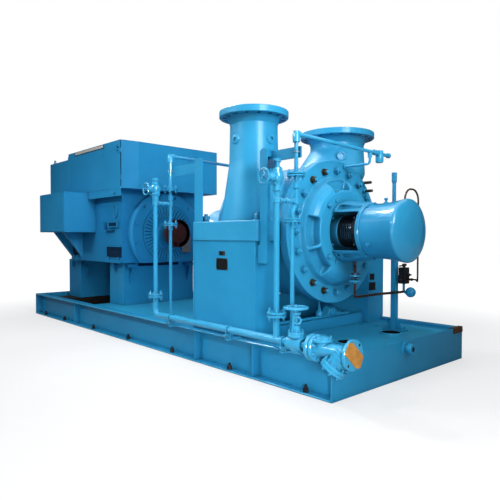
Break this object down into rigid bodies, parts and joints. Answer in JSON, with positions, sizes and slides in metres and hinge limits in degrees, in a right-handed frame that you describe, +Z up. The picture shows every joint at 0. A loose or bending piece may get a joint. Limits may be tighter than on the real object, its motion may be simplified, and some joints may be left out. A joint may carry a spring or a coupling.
{
  "type": "between-bearings process pump set",
  "caption": "Horizontal process pump with a bearing housing at each end, its electric motor and cooling water pipes on one steel skid.",
  "frame": {"origin": "on the floor, midway along and across the skid, on the underside of the middle cross member", "axes": "+X along the shaft from the motor to the outboard bearing, +Z up, -Y the side with the cooling water pipes"},
  "size_m": [5.8757, 2.2, 2.325],
  "materials": {
    "blue_enamel": "glossy sky blue enamel over castings and plate",
    "coupling_red": "dark red coupling half",
    "inlet_cover": "orange shipping cover",
    "seal_steel": "dark machined seal cartridge",
    "shaft_steel": "ground shaft steel",
    "tubing_steel": "dark unpainted tubing and fittings"
  },
  "bodies": {
    "skid": {"bearing_bracket_drive": "blue_enamel", "bearing_bracket_outboard": "blue_enamel", "bearing_housing_drive": "blue_enamel", "bearing_housing_outboard": "blue_enamel", "branch_pipe_drive": "blue_enamel", "branch_pipe_outboard": "blue_enamel", "cover_drive": "blue_enamel", "cover_outboard": "blue_enamel", "cross_member_1": "blue_enamel", "cross_member_2": "blue_enamel", "cross_member_3": "blue_enamel", "cross_member_4": "blue_enamel", "deck_plate": "blue_enamel", "discharge_nozzle": "blue_enamel", "inlet_blank": "inlet_cover", "inlet_strainer": "blue_enamel", "instrument_stand": "blue_enamel", "motor_end_shield": "blue_enamel", "motor_frame": "blue_enamel", "motor_hood": "blue_enamel", "motor_pedestal_far": "blue_enamel", "motor_pedestal_near": "blue_enamel", "pedestal_web": "blue_enamel", "pipe_support_drive": "blue_enamel", "pipe_support_outboard": "blue_enamel", "pump_casing": "blue_enamel", "pump_pedestal_front": "blue_enamel", "pump_pedestal_rear": "blue_enamel", "riser_drive": "blue_enamel", "riser_outboard": "blue_enamel", "seal_cartridge_drive": "seal_steel", "seal_cartridge_outboard": "seal_steel", "seal_drain": "tubing_steel", "skid_channel_front": "blue_enamel", "skid_channel_rear": "blue_enamel", "skid_end_plate_motor": "blue_enamel", "skid_end_plate_pump": "blue_enamel", "suction_nozzle": "blue_enamel", "terminal_box": "blue_enamel", "tie_beam": "blue_enamel", "vent_tube": "tubing_steel", "water_header": "blue_enamel"},
    "pump_rotor": {"pump_rotor": "shaft_steel"},
    "motor_rotor": {"motor_rotor": "coupling_red"},
    "handwheel_drive": {"handwheel_drive": "blue_enamel"},
    "handwheel_outboard": {"handwheel_outboard": "blue_enamel"},
    "handwheel_inlet": {"handwheel_inlet": "blue_enamel"}
  },
  "joints": [
    {"name": "pump_shaft_spin", "type": "hinge", "parent": "skid", "child": "pump_rotor", "pos_m": [1.6, 0, 1.195], "axis": [1, 0, 0], "continuous": true},
    {"name": "motor_shaft_spin", "type": "hinge", "parent": "skid", "child": "motor_rotor", "pos_m": [-0.5, 0, 1.195], "axis": [1, 0, 0], "continuous": true},
    {"name": "handwheel_drive_turn", "type": "hinge", "parent": "skid", "child": "handwheel_drive", "pos_m": [0.683, -1.165, 1.605], "axis": [0, -1, 0], "continuous": true},
    {"name": "handwheel_outboard_turn", "type": "hinge", "parent": "skid", "child": "handwheel_outboard", "pos_m": [2.345, -1.195, 1.58], "axis": [0, -1, 0], "continuous": true},
    {"name": "handwheel_inlet_turn", "type": "hinge", "parent": "skid", "child": "handwheel_inlet", "pos_m": [2.54, -1.06, 0.64], "axis": [0, 0, 1], "continuous": true}
  ]
}
